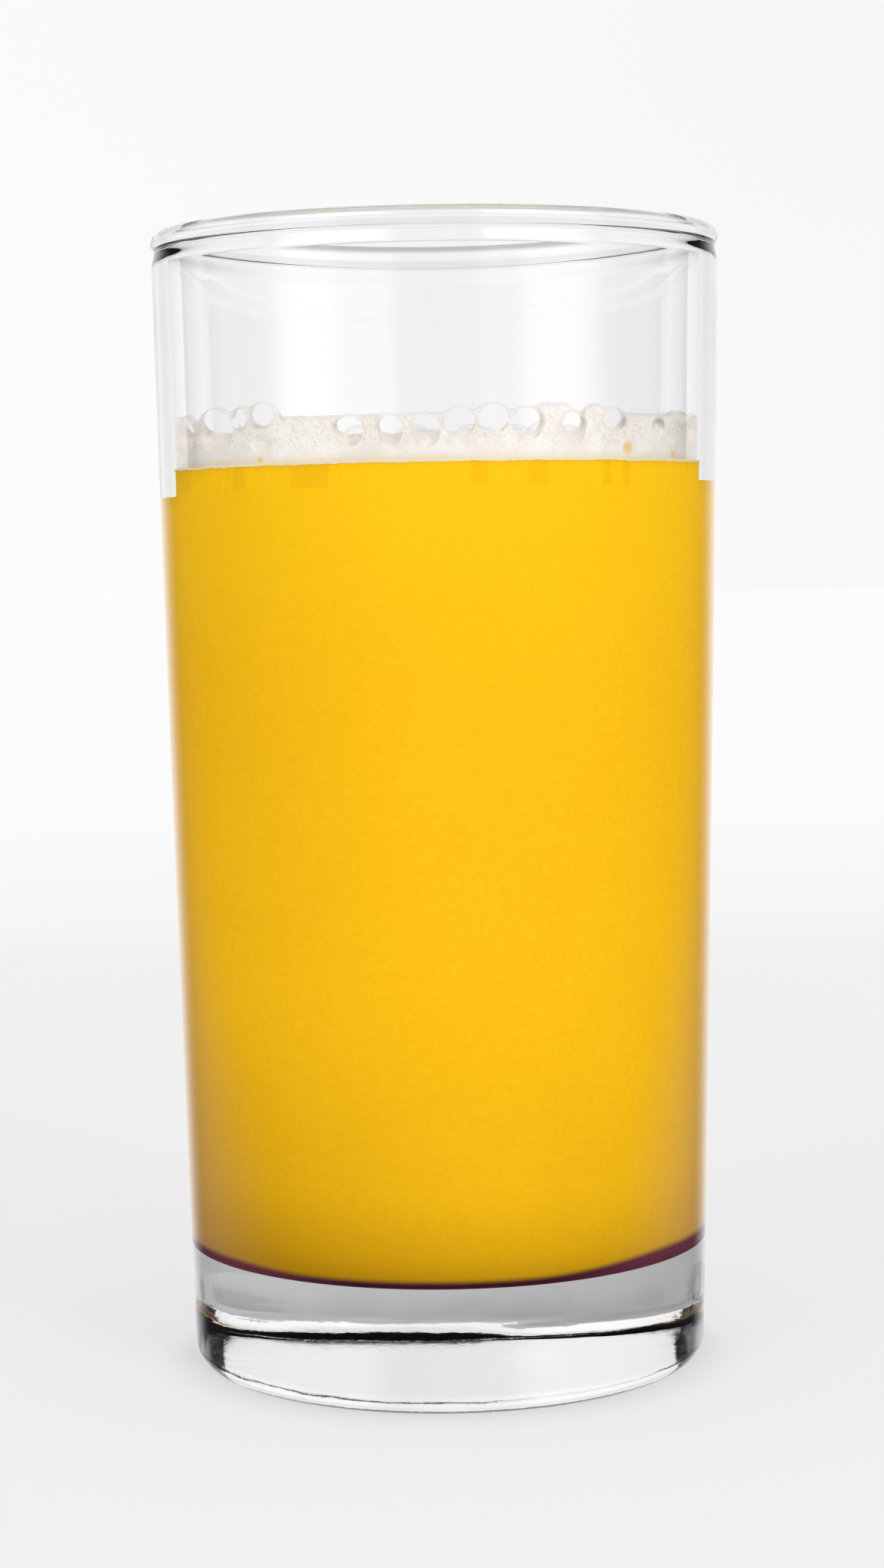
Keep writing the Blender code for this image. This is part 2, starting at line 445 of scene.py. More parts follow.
def juice_material():
    """Opaque juice with faint pulp.

    Its tones carry painted light and shade: painted shade darkens it towards the bottom and to the
    left, painted light makes it lighter towards the froth, its flanks turn a pale tan as a painted
    reflection with shade, and its lip and underside are dark as painted shade. It is painted darker
    still to a light path that has bounced about deep in the glass.
    """
    material, n = new_material("orange_juice")
    place_in = n.add("ShaderNodeTexCoord").outputs["Object"]
    pulp = n.add("ShaderNodeTexNoise", {"Vector": place_in, "Scale": 1400.0, "Detail": 3.0})
    clouds = n.add("ShaderNodeTexNoise", {"Vector": place_in, "Scale": 60.0, "Detail": 2.0})
    stretched = n.add("ShaderNodeMapping", {"Vector": place_in, "Scale": (1.0, 1.0, 0.05)})
    both = n.math("ADD", pulp.outputs[0], n.math("MULTIPLY", clouds.outputs[0], 0.5))
    share = n.ramp(both, 0.45, 1.05)
    colour = n.mix(share, JUICE_DARKER, JUICE_BRIGHTER)
    east, north, height = n.add("ShaderNodeSeparateXYZ", {0: place_in}).outputs
    # painted shade: the juice is darker towards the bottom, to the left, and most at the very bottom
    low = n.ramp(height, 0.012, 0.050, 1.0, 0.0)
    turn = n.math("DEGREES", n.math("ARCTAN2", east, n.math("MULTIPLY", north, -1.0)))
    off_front = n.math("ABSOLUTE", turn)
    before = n.ramp(off_front, 105.0, 150.0, 1.0, 0.0)
    left_shade = n.math("MULTIPLY", n.ramp(turn, 20.0, -60.0, 0.0, 0.8), before)
    shade = n.math("MULTIPLY", n.math("ADD", low, 0.25), n.math("ADD", left_shade, 0.6))
    shade = n.math("MULTIPLY", shade, 0.26)
    shade = n.math("ADD", shade, n.ramp(height, 0.014, 0.026, 0.30, 0.0), clamp=True)
    colour = n.mix(shade, colour, JUICE_SHADE)
    # painted reflection and shade: the flanks turn a pale, dull tan, growing wider towards the bottom
    starts = n.ramp(height, 0.015, 0.070, 36.0, 58.0)
    aside = n.ramp(off_front, starts, 84.0)
    aside = n.math("MULTIPLY", aside, n.ramp(off_front, 84.0, 115.0, 1.0, 0.0))
    flank_reflection_and_shade = n.math("MULTIPLY", aside, n.ramp(height, 0.015, 0.085, 0.58, 0.08))
    colour = n.mix(flank_reflection_and_shade, colour, JUICE_FLANK_REFLECTION_AND_SHADE)
    streaks = n.add("ShaderNodeTexNoise", {"Vector": stretched.outputs[0], "Scale": 260.0})
    band = n.math("MULTIPLY", n.ramp(height, WET_LINE - 0.0001, WET_LINE + 0.0001), 0.22)
    streaked = n.math("MULTIPLY", n.ramp(streaks.outputs[0], 0.56, 0.60), band)
    # painted light: the juice is lighter and yellower towards the froth
    colour = n.mix(n.ramp(height, 0.080, 0.104, 0.0, 0.35), colour, JUICE_PAINTED_LIGHT_NEAR_FROTH)
    colour = n.mix(streaked, colour, JUICE_STREAK)
    # painted shade: below the lip, which rises towards the sides, the turned-under juice is dark
    rise = n.ramp(turn, 18.0, 60.0, 0.0, JUICE_LIP_RISE_RIGHT)
    rise = n.math("ADD", rise, n.ramp(turn, -32.0, -58.0, 0.0, JUICE_LIP_RISE_LEFT))
    lip = n.math("ADD", n.math("MULTIPLY", rise, before), JUICE_LIP)
    under_lip_shade = n.ramp(n.math("SUBTRACT", height, lip), -0.0003, 0.0007)
    lip_shade = n.mix(n.ramp(off_front, 20.0, 55.0), JUICE_LIP_SHADE_MIDDLE, JUICE_LIP_SHADE_SIDES)
    colour = n.mix(under_lip_shade, lip_shade, colour)
    # painted shade: the juice's bottom face, resting on the glass's floor, is dark
    flat = n.add("ShaderNodeCombineXYZ", {0: east, 1: north})
    off_axis = n.add("ShaderNodeVectorMath", {0: flat.outputs[0]}, operation="LENGTH")
    underside_shade_share = n.ramp(off_axis.outputs["Value"], 0.0262, 0.0245)
    underside_shade_share = n.math("MULTIPLY", underside_shade_share, n.ramp(height, 0.016, 0.015))
    colour = n.mix(underside_shade_share, colour, JUICE_UNDERSIDE_SHADE)
    path = n.add("ShaderNodeLightPath")
    colour = n.mix(path.outputs["Is Diffuse Ray"], colour, JUICE_IN_BOUNCES)
    # painted shade: to a light path deep in the glass the juice is dark, nearly black low down
    deep = n.ramp(path.outputs["Ray Depth"], *DEEP_PATH)
    deep_shade = n.mix(n.ramp(height, 0.022, 0.032), JUICE_DEEP_SHADE_LOW, JUICE_DEEP_SHADE_HIGH)
    colour = n.mix(deep, colour, deep_shade)
    shader = n.add(
        "ShaderNodeBsdfPrincipled",
        {"Base Color": colour, "Roughness": 0.6, "Specular IOR Level": 0.0},
    )
    n.add("ShaderNodeOutputMaterial", {"Surface": shader.outputs[0]})
    return material


def froth_material():
    """Dense pale foam, clear and greyish where it is only a thin wet film."""
    material, n = new_material("pale_froth")
    place_in = n.add("ShaderNodeTexCoord").outputs["Object"]
    cells = n.add("ShaderNodeTexVoronoi", {"Vector": place_in, "Scale": 2100.0})
    fine = n.add("ShaderNodeTexVoronoi", {"Vector": place_in, "Scale": 5200.0})
    grain = n.add("ShaderNodeTexNoise", {"Vector": place_in, "Scale": 3500.0, "Detail": 2.0})
    blotches = n.add("ShaderNodeTexNoise", {"Vector": place_in, "Scale": 420.0, "Detail": 3.0})
    height = n.add("ShaderNodeSeparateXYZ", {0: place_in}).outputs[2]
    share = n.math("ADD", blotches.outputs[0], n.math("MULTIPLY", grain.outputs[0], 0.35))
    colour = n.mix(n.ramp(share, 0.50, 0.85), FROTH_DARKER, FROTH_BRIGHTER)
    rings = n.ramp(cells.outputs["Distance"], 0.15, 0.50, 0.60, 0.0)
    rings = n.math("MULTIPLY", rings, n.ramp(height, 0.1062, 0.1090, 0.4, 1.0))
    colour = n.mix(rings, colour, FROTH_CELL)
    grains = n.ramp(fine.outputs["Distance"], 0.15, 0.60, 0.0, 0.10)
    colour = n.mix(grains, colour, FROTH_GRAIN)
    cream = n.ramp(height, 0.1054, 0.1068, 0.85, 0.0)
    colour = n.mix(cream, colour, FROTH_CREAM)
    for bearing, level, size in PULP_SPECKS:
        middle = place(math.radians(bearing), inner_radius(level), level)
        away = n.add("ShaderNodeVectorMath", {0: place_in, 1: middle}, operation="DISTANCE")
        speck = n.ramp(away.outputs["Value"], 0.4 * size, size, 0.8, 0.0)
        colour = n.mix(speck, colour, PULP_TONE)
    bump = n.add(
        "ShaderNodeBump", {"Strength": 0.35, "Distance": 0.00012, "Height": cells.outputs[0]}
    )
    foam = n.add(
        "ShaderNodeBsdfPrincipled",
        {"Base Color": colour, "Roughness": 0.35, "IOR": 1.33, "Normal": bump.outputs[0]},
    )
    glow = n.add("ShaderNodeBsdfTranslucent", {"Color": FROTH_GLOW})
    foam = n.mix_shader(FROTH_GLOW_SHARE, foam.outputs[0], glow.outputs[0])
    clear = n.add("ShaderNodeBsdfTransparent", {"Color": FROTH_FILM})
    wet = n.add("ShaderNodeAttribute", attribute_name="wet").outputs["Fac"]
    film_share = n.math("MULTIPLY", wet, FROTH_FILM_SHARE)
    shader = n.mix_shader(film_share, foam, clear.outputs[0])
    n.add("ShaderNodeOutputMaterial", {"Surface": shader})
    return material


def film_material():
    """A bubble's skin: clear, with a little gloss that grows towards its outline."""
    material, n = new_material("bubble_film")
    facing = n.add("ShaderNodeLayerWeight", {"Blend": 0.25}).outputs["Facing"]
    clear = n.add("ShaderNodeBsdfTransparent", {"Color": BUBBLE_CLEAR})
    gloss = n.add("ShaderNodeBsdfGlossy", {"Color": BUBBLE_GLOSS, "Roughness": 0.08})
    share = n.ramp(facing, 0.05, 1.0, 0.03, 0.65)
    shader = n.mix_shader(share, clear.outputs[0], gloss.outputs[0])
    n.add("ShaderNodeOutputMaterial", {"Surface": shader})
    return material


def neck(radius_at, start, bead_point, lean):
    """The wall easing over to the rim's bead, which it meets at the angle lean off upright."""
    radius, end = bead_point
    rise = end - start
    points = []
    for t in np.linspace(0, 1, NECK_STEPS):
        ease = smooth_step(t, 0, 1)
        settle = t * t * (t - 1)
        out = radius_at(start) * (1 - ease) + radius * ease + rise * math.tan(lean) * settle
        points.append((out, start + rise * t))
    return points


def glass_unevenness(bearing, radius, height):
    """Outward and upward shift of a point of the glass: pressed glass is never quite true."""
    spot = place(bearing, radius, height) * 1000
    low = min(1.0, max(0.0, (HEEL_WAVES_TOP - height) / HEEL_WAVES_FADE))
    if low > 0 and radius > RECESS_RADIUS:
        wave = noise.noise(Vector((spot.x * 0.30, spot.y * 0.30, spot.z * 1.1)))
        fine = noise.noise(Vector((spot.x * 0.9, spot.y * 0.9, spot.z * 2.2 + 7)))
        behind = 0.4 + 0.6 * smooth_step(spot.y, 0.0, 20.0)
        out = low * behind * (HEEL_WAVES * wave + 0.35 * HEEL_WAVES * fine)
        if height < HEEL_RADIUS and radius > RECESS_RADIUS + 2 * MM:
            square = HEEL_SQUARED * smooth_step(spot.x, 1.2, 3.8)
            square += HEEL_SQUARED_LEFT * smooth_step(spot.x, -6.6, -8.2)
            rounder = smooth_step(spot.x, 2.4, 0.2) * smooth_step(spot.x, -7.8, -6.0)
            change = (square - HEEL_ROUNDED * rounder) * smooth_step(spot.y, 10.0, 20.0)
            out += change * (outer_radius(height) - radius)
        return out, 0.0
    if height <= RECESS_DEPTH:
        rise = noise.noise(Vector((spot.x * 0.10, spot.y * 0.25, 3.0)))
        edge = min(1.0, (RECESS_RADIUS - radius) / RECESS_WAVES_FADE)
        return 0.0, RECESS_WAVES * rise * max(0.0, edge)
    if radius < inner_radius(height) + 0.3 * WALL and height > FLOOR_HEIGHT + FLOOR_FILLET:
        flute = noise.noise(Vector((math.sin(bearing) * 9, math.cos(bearing) * 9, height * 8)))
        return WALL_WAVES * flute, 0.0
    return 0.0, 0.0


def glass_profile():
    fillet_top = FLOOR_HEIGHT + FLOOR_FILLET
    fillet = arc(
        inner_radius(fillet_top) - FLOOR_FILLET, fillet_top, FLOOR_FILLET, -math.pi / 2, 0, 20
    )
    bead_height = GLASS_HEIGHT - RIM_BEAD_RADIUS
    bead = arc(
        RIM_RADIUS - RIM_BEAD_RADIUS,
        bead_height,
        RIM_BEAD_RADIUS,
        math.pi - RIM_BEAD_START_ANGLE,
        RIM_BEAD_START_ANGLE,
        36,
    )
    wall_top = bead[0][1] - NECK_HEIGHT
    heel = arc(
        outer_radius(HEEL_RADIUS) - HEEL_RADIUS, HEEL_RADIUS, HEEL_RADIUS, 0, -math.pi / 2, 24
    )
    recess_edge = arc(
        RECESS_RADIUS - 2 * RECESS_DEPTH, 0.0, RECESS_DEPTH, 0, math.pi / 2, 8
    )
    return (
        [(0.0, FLOOR_HEIGHT)]
        + [(r, FLOOR_HEIGHT) for r in np.linspace(0.004, fillet[0][0], 6)[:-1]]
        + fillet
        + side(inner_radius, fillet_top, wall_top, 24)[1:]
        + neck(inner_radius, wall_top, bead[0], -NECK_LEAN)[1:-1]
        + bead
        + neck(outer_radius, wall_top, bead[-1], NECK_LEAN)[1:-1][::-1]
        + side(outer_radius, wall_top, HEEL_RADIUS, 30)[:-1]
        + heel
        + recess_edge
        + [(r, RECESS_DEPTH) for r in np.linspace(recess_edge[-1][0], 0.003, 8)[1:]]
        + [(0.0, RECESS_DEPTH)]
    )


def make_glass():
    glass = revolve(
        "tumbler", glass_profile(), GLASS_AROUND, glass_material(), glass_unevenness
    )
    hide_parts("glass")


def touching(bearing):
    """1 where the juice touches the wall up to the froth, and 0 where air lies between."""
    start, end = DRY_STRETCH
    away = abs(turn_between(bearing, (start + end) / 2)) - (end - start) / 2
    return smooth_step(away, -DRY_EDGE, DRY_EDGE)


def wet_line(bearing):
    return WET_LINE + WET_LINE_TILT * math.sin(bearing)


def juice_top(bearing):
    """Height of the juice at the wall: a little higher towards the front, faintly ragged."""
    swell = JUICE_TOP_SWELL * math.cos(bearing - JUICE_TOP_SWELL_BEARING)
    spot = place(bearing, 30.0, 0.0)
    ragged = 0.00010 * noise.noise(spot * 0.35) + 0.00009 * noise.noise(spot * 1.9)
    return JUICE_TOP + swell + ragged


def make_juice():
    bottom = FLOOR_HEIGHT - JUICE_INTO_WALL
    fillet_top = FLOOR_HEIGHT + FLOOR_FILLET
    fillet = arc(
        inner_radius(fillet_top) - FLOOR_FILLET,
        fillet_top,
        FLOOR_FILLET + JUICE_INTO_WALL,
        0,
        -math.pi / 2,
        16,
    )
    inside_wall = side(lambda h: inner_radius(h) + JUICE_INTO_WALL, WET_LINE, fillet_top, 30)
    above = [
        (inner_radius(JUICE_TOP) - DRY_INSET - 0.0004, JUICE_TOP),
        (inner_radius(JUICE_TOP) - DRY_INSET, JUICE_TOP - 0.00015),
        (inner_radius(WET_LINE) - DRY_INSET, WET_LINE + 3 * JUICE_STEP),
        (inner_radius(WET_LINE) - 0.6 * DRY_INSET, WET_LINE + JUICE_STEP),
    ]
    profile = [(0.0, JUICE_TOP)] + above + inside_wall[:-1] + fillet + [(0.0, bottom)]

    def shift(bearing, radius, height):
        if height < WET_LINE - JUICE_STEP:
            return 0.0, 0.0
        out = 0.0
        if height > WET_LINE and radius > inner_radius(height) - 2 * DRY_INSET:
            out = (inner_radius(height) + JUICE_INTO_WALL - radius) * touching(bearing)
        if height > WET_LINE + 6 * JUICE_STEP:
            return out, juice_top(bearing) - JUICE_TOP
        return out, wet_line(bearing) - WET_LINE

    juice = revolve("juice_body", profile, JUICE_AROUND, juice_material(), shift)
    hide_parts("juice")


def plain_crest(bearing):
    """Top of the froth along the wall where no bubble lifts it: lower behind than in front."""
    behind = smooth_step(abs(turn_between(bearing, 0.0)), math.radians(78), math.radians(105))
    swell = 0.00012 * noise.noise(place(bearing, 30.0, 0.0) * 0.25)
    return FROTH_CREST + (FROTH_CREST_BEHIND - FROTH_CREST) * behind + swell


def wall_bubbles():
    """(bearing, height, half width, half height) of every bubble along the wall, in metres."""
    draw = np.random.default_rng(BUBBLE_SEED)
    bubbles = [
        (math.radians(b), h * MM, w * MM, t * MM) for b, h, w, t in FRONT_BUBBLES
    ]
    bearing, end = (math.radians(b) for b in BACK_BEARINGS)
    radius = inner_radius(FROTH_CREST)
    while True:
        half = draw.uniform(*BACK_HALF_WIDTHS)
        bearing += half / radius
        if bearing > end:
            return bubbles
        height = plain_crest(bearing) - half * draw.uniform(0.8, 1.1)
        bubbles.append((bearing, height, half, half * draw.uniform(0.85, 1.1)))
        bearing += half / radius


def crest(bearing, bubbles):
    """Top of the froth along the wall: it climbs over each bubble by a thin border."""
    top = plain_crest(bearing)
    radius = inner_radius(FROTH_CREST)
    for middle, height, half_width, half_height in bubbles:
        reach = half_width + 2.2 * BUBBLE_BORDER
        away = abs(turn_between(bearing, middle)) * radius
        if away < reach:
            lift = (half_height + BUBBLE_BORDER) * math.sqrt(1 - (away / reach) ** 2)
            top = max(top, height + lift)
    return top


def crest_heights(bubbles):
    """The crest's height at each column of the froth, softened a little."""
    crests = np.array([crest(math.tau * i / FROTH_AROUND, bubbles) for i in range(FROTH_AROUND)])
    kernel = np.array([1, 2, 3, 2, 1]) / 9
    wrapped = np.concatenate([crests[-2:], crests, crests[:2]])
    return np.convolve(wrapped, kernel, "valid")


def make_froth(crests, material):
    """The froth's body, with a skirt that stands against the wall up to the crest's heights."""
    wall = inner_radius(FROTH_MIDDLE) - FROTH_INSET
    rings = []
    for i in range(FROTH_AROUND):
        bearing = math.tau * i / FROTH_AROUND
        foot = juice_top(bearing) - FROTH_DIP
        head = crests[i]
        in_touch = touching(bearing)
        off_front = abs(turn_between(bearing, 0.0))
        inner_top = FROTH_BODY_TOP + FROTH_FLANK_RISE * smooth_step(off_front, *FROTH_FLANK)
        column = [(wall - FROTH_UNDERSIDE_INSET, foot - FROTH_UNDERSIDE_DIP)]
        for share in np.linspace(0.0, 0.97, SKIRT_ROWS):
            height = foot + (head - foot) * share
            touch = 1 - smooth_step(height, foot + FROTH_PRESSED[0], foot + FROTH_PRESSED[1])
            reach = JUICE_INTO_WALL + FROTH_PRESSED_DEPTH + FROTH_INSET
            into_wall = touch * in_touch * reach
            column.append((inner_radius(height) - FROTH_INSET + into_wall, height))
        column.extend((wall - inwards, head - down) for inwards, down in SKIRT_LIP)
        for share in np.linspace(0.25, 1.0, 5):
            height = head + (inner_top + 0.0002 - head) * share
            inwards = (SKIRT_THICKNESS - SKIRT_CROWN) * share**1.5
            column.append((wall - SKIRT_CROWN - inwards, height))
        for share in np.linspace(0.0, 0.985, FROTH_TOP_RINGS)[1:]:
            radius = (wall - SKIRT_THICKNESS) * (1 - share)
            spot = place(bearing, radius, 0.0) * 1000
            rough = 0.00026 * noise.noise(spot * 0.35) + 0.00010 * noise.noise(spot * 0.9)
            height = FROTH_CENTRE_TOP + (inner_top - FROTH_CENTRE_TOP) * (1 - share) ** 2
            column.append((radius, height + rough))
        rings.append([place(bearing, r, h) for r, h in column])
    count = len(rings[0])
    verts = [rings[i][k] for k in range(count) for i in range(FROTH_AROUND)]
    low = len(verts)
    verts.append(Vector((0, 0, JUICE_TOP - 0.0002)))
    verts.append(Vector((0, 0, FROTH_CENTRE_TOP)))
    faces = []
    for i in range(FROTH_AROUND):
        j = (i + 1) % FROTH_AROUND
        faces.append((low, j, i))
        for k in range(count - 1):
            a, b = k * FROTH_AROUND, (k + 1) * FROTH_AROUND
            faces.append((a + i, a + j, b + j, b + i))
        top = (count - 1) * FROTH_AROUND
        faces.append((top + i, top + j, low + 1))
    return mesh_object("froth_body", verts, faces, material)


def ball_mesh(name, segments, rings):
    mesh = bpy.data.meshes.new(name)
    work = bmesh.new()
    bmesh.ops.create_uvsphere(work, u_segments=segments, v_segments=rings, radius=1.0)
    work.to_mesh(mesh)
    work.free()
    return mesh


def add_ball(owner, mesh, middle, scale, bearing):
    ball = bpy.data.objects.new("hollow", mesh)
    stretch = Matrix.Diagonal((*scale, 1.0))
    ball.matrix_world = Matrix.Translation(middle) @ Matrix.Rotation(bearing, 4, "Z") @ stretch
    owner.objects.link(ball)


def pits(bubbles):
    """(bearing, height, radius) of small bubbles along the wall, clear of the large ones."""
    draw = np.random.default_rng(BUBBLE_SEED + 1)
    taken = [(b, h, max(w, t)) for b, h, w, t in bubbles]
    found = []
    for _ in range(PIT_COUNT * 6):
        bearing = draw.uniform(-math.pi, math.pi)
        radius = PIT_RADII[0] + (PIT_RADII[1] - PIT_RADII[0]) * draw.random() ** 2.5
        low, high = PIT_HEIGHTS
        height = low + (high - low) * draw.random() ** 0.6
        if height > plain_crest(bearing) - radius - 0.0003:
            continue
        wall = inner_radius(height)
        room = (
            math.hypot(turn_between(bearing, b) * wall, height - h) > size + radius + PIT_ROOM
            for b, h, size in taken
        )
        if all(room):
            taken.append((bearing, height, radius))
            found.append((bearing, height, radius))
        if len(found) == PIT_COUNT:
            break
    return found


def dome_spots():
    """(middle, radius) of the bubbles that stand on the froth, large first, none in another."""
    draw = np.random.default_rng(BUBBLE_SEED + 2)
    rim = inner_radius(FROTH_BODY_TOP) - SKIRT_THICKNESS - 0.0006
    low, high = DOME_RADII
    domes = []
    for index in range(DOME_COUNT):
        radius = high - (high - low) * math.sqrt(index / DOME_COUNT)
        for _ in range(DOME_TRIES):
            bearing = draw.uniform(0, math.tau)
            out = (rim - radius) * math.sqrt(draw.random())
            spot = place(bearing, out, FROTH_CENTRE_TOP - 0.15 * radius)
            if all((spot - other).length > radius + size + DOME_ROOM for other, size in domes):
                domes.append((spot, radius))
                break
    return domes


def cut_hollows(froth, bubbles, domes):
    """A hollow where each bubble stands, along the wall and on top."""
    cutters = bpy.data.collections.new("hollows")
    bpy.context.scene.collection.children.link(cutters)
    large, small = ball_mesh("large", 32, 20), ball_mesh("small", 12, 8)
    for spot, radius in domes:
        wide = 0.96 * radius
        add_ball(cutters, large, spot, (wide, wide, DOME_FLATNESS * wide), 0.0)
    for bearing, height, half_width, half_height in bubbles:
        opens = height + half_height > FROTH_BODY_TOP + 0.0009 and half_width > 0.9 * MM
        inwards = 0.5 * BUBBLE_DEPTH if opens else SHALLOW_HOLLOW * half_height
        middle = place(bearing, inner_radius(height) - inwards, height)
        shape = (1.15 * half_width, 2 * inwards, 1.15 * half_height)
        add_ball(cutters, large, middle, shape, bearing)
    for bearing, height, radius in pits(bubbles):
        middle = place(bearing, inner_radius(height), height)
        add_ball(cutters, small, middle, (radius,) * 3, bearing)
    cut = froth.modifiers.new("hollows", "BOOLEAN")
    cut.operation = "DIFFERENCE"
    cut.solver = "MANIFOLD"
    cut.operand_type = "COLLECTION"
    cut.collection = cutters
    bpy.context.view_layer.update()
    evaluated = froth.evaluated_get(bpy.context.evaluated_depsgraph_get())
    mesh = bpy.data.meshes.new_from_object(evaluated)
    froth.modifiers.clear()
    froth.data = mesh
    mesh.name = froth.name
    for ball in list(cutters.objects):
        bpy.data.objects.remove(ball)
    bpy.data.collections.remove(cutters)
    mesh.shade_smooth()
    mesh.set_sharp_from_angle(angle=SHARP_ANGLE)


def mark_wetness(froth, bubbles, crests):
    """A value on each vertex, 1 where the froth is only a thin wet film: its crest and rims."""
    mesh = froth.data
    spots = np.empty(len(mesh.vertices) * 3)
    mesh.vertices.foreach_get("co", spots)
    spots = spots.reshape(-1, 3)
    bearing = np.arctan2(spots[:, 0], -spots[:, 1])
    height = spots[:, 2]
    out = np.hypot(spots[:, 0], spots[:, 1])
    grid = np.arange(FROTH_AROUND + 1) * math.tau / FROTH_AROUND
    tops = np.append(crests, crests[0])
    below = np.interp(bearing % math.tau, grid, tops) - height
    wall = inner_radius(FROTH_CREST)
    near = np.full(len(spots), 1.0)
    for middle, level, half_width, half_height in bubbles:
        turn = (bearing - middle + math.pi) % math.tau - math.pi
        x, z = turn * wall, height - level
        ring = np.sqrt((x / half_width) ** 2 + (z / half_height) ** 2)
        gap = np.abs(ring - 1) * min(half_width, half_height)
        gap = np.where(half_height > SMALL_BUBBLE, gap, 1.0)
        near = np.minimum(near, gap)
    thin = np.clip((FILM_WIDTH - np.minimum(near, below)) / FILM_FADE, 0, 1)
    high = np.clip((height - FILM_LOWEST) / FILM_RISE, 0, 1)
    skirt = np.clip((out - (wall - FILM_FROM_WALL)) / FILM_FROM_WALL_FADE, 0, 1)
    wet = mesh.attributes.new("wet", "FLOAT", "POINT")
    wet.data.foreach_set("value", thin * high * skirt)


def make_domes(domes, material):
    """The clear skins of the bubbles that stand on the froth, each over its own hollow."""
    ball = ball_mesh("dome", 24, 14)
    corners = np.array([v.co[:] for v in ball.vertices])
    loops = [tuple(face.vertices) for face in ball.polygons]
    verts, faces = [], []
    for spot, radius in domes:
        start = len(verts)
        verts.extend((corners * (radius, radius, DOME_FLATNESS * radius) + spot[:]).tolist())
        faces.extend(tuple(start + k for k in loop) for loop in loops)
    skins = mesh_object("froth_domes", verts, faces, material)


def floor_material():
    """White paper near the glass that turns into an even glow farther off, where no shadow falls.

    Rays that have come through the glass find it greyer, as painted shade for the glass's shadow
    behind it, and open in front of the glass.
    """
    material, n = new_material("pale_floor")
    place_in = n.add("ShaderNodeTexCoord").outputs["Object"]
    distance = n.add("ShaderNodeVectorMath", {0: place_in}, operation="LENGTH").outputs["Value"]
    path = n.add("ShaderNodeLightPath")
    seen = path.outputs["Is Camera Ray"]
    seen = n.math("MULTIPLY", seen, n.ramp(distance, 0.028, 0.036, 0.15, 0.68))
    fade = n.math("MAXIMUM", n.ramp(distance, 0.20, 0.50), seen)
    brightness = n.ramp(distance, 0.05, 0.95, FLOOR_GLOW_NEAR, FLOOR_GLOW_FAR)
    through_glass = path.outputs["Is Transmission Ray"]
    paper_tone = n.mix(through_glass, PAPER, PAPER_SHADED_THROUGH_GLASS)
    paper = n.add("ShaderNodeBsdfDiffuse", {"Color": paper_tone})
    glow = n.add("ShaderNodeEmission", {"Color": brightness, "Strength": 1.0})
    shader = n.mix_shader(fade, paper.outputs[0], glow.outputs[0])
    north = n.add("ShaderNodeSeparateXYZ", {0: place_in}).outputs[1]
    before = n.math("MULTIPLY", through_glass, n.ramp(north, -0.05, -0.12))
    gone = n.add("ShaderNodeBsdfTransparent")
    shader = n.mix_shader(before, shader, gone.outputs[0])
    n.add("ShaderNodeOutputMaterial", {"Surface": shader})
    return material


def make_floor():
    half = FLOOR_SIZE / 2
    low = -0.00002
    corners = [(-half, -half, low), (half, -half, low), (half, half, low), (-half, half, low)]
    floor = mesh_object("floor", corners, [(0, 1, 2, 3)], floor_material(), body=None)
    floor.visible_glossy = False


def seen_through_glass(n, backdrop, off_back, off_front, turn, height):
    """What rays find that have come through the glass: backdrop, flags, front boxes and ceiling."""
    behind = n.math("MULTIPLY", backdrop, n.ramp(height, 9.0, 12.0, 1.0, 0.90))
    behind = n.math("MULTIPLY", behind, n.ramp(off_back, 6.0, 15.0, 1.0, 1.10))
    to_right = n.math("GREATER_THAN", turn, 0.0)
    inner = n.mix(to_right, grey(42.0), grey(20.0))
    boxes = n.ramp(n.math("SUBTRACT", off_front, inner), -6.0, 4.0)
    facing = n.ramp(off_back, 90.0, 118.0)
    studio = n.mix(boxes, FRONT_WALL, FRONT_BOXES)
    through = n.mix(facing, behind, studio)
    through = n.mix(n.ramp(height, 34.0, 50.0), through, CEILING)
    flag = n.ramp(off_back, 50.0, 51.5)
    flag = n.math("MULTIPLY", flag, n.ramp(off_back, 95.0, 112.0, 1.0, 0.0))
    flag = n.math("MULTIPLY", flag, n.ramp(height, 34.0, 50.0, 1.0, 0.0))
    flag_tone = n.ramp(off_back, 58.0, 68.0, FLAG_TONE, FLAG_EDGE_TONE)
    return n.mix(flag, through, flag_tone)


def seen_in_gloss(n, backdrop, off_back, off_front, height):
    """What the glass's outside mirrors: the backdrop, a dim room and two tall lamps."""
    front = n.ramp(off_back, 18.0, 42.0)
    dim = n.math("MAXIMUM", front, n.ramp(height, 34.0, 50.0))
    mirrored = n.mix(dim, backdrop, MIRRORED_ROOM)
    lamps = n.ramp(off_front, 20.0, 24.0)
    lamps = n.math("MULTIPLY", lamps, n.ramp(off_front, 50.0, 56.0, 1.0, 0.0))
    lamps = n.math("MULTIPLY", lamps, n.ramp(height, 17.0, 20.0))
    lamps = n.math("MULTIPLY", lamps, n.ramp(height, 46.0, 52.0, 1.0, 0.0))
    return n.mix(lamps, mirrored, MIRRORED_LAMPS)


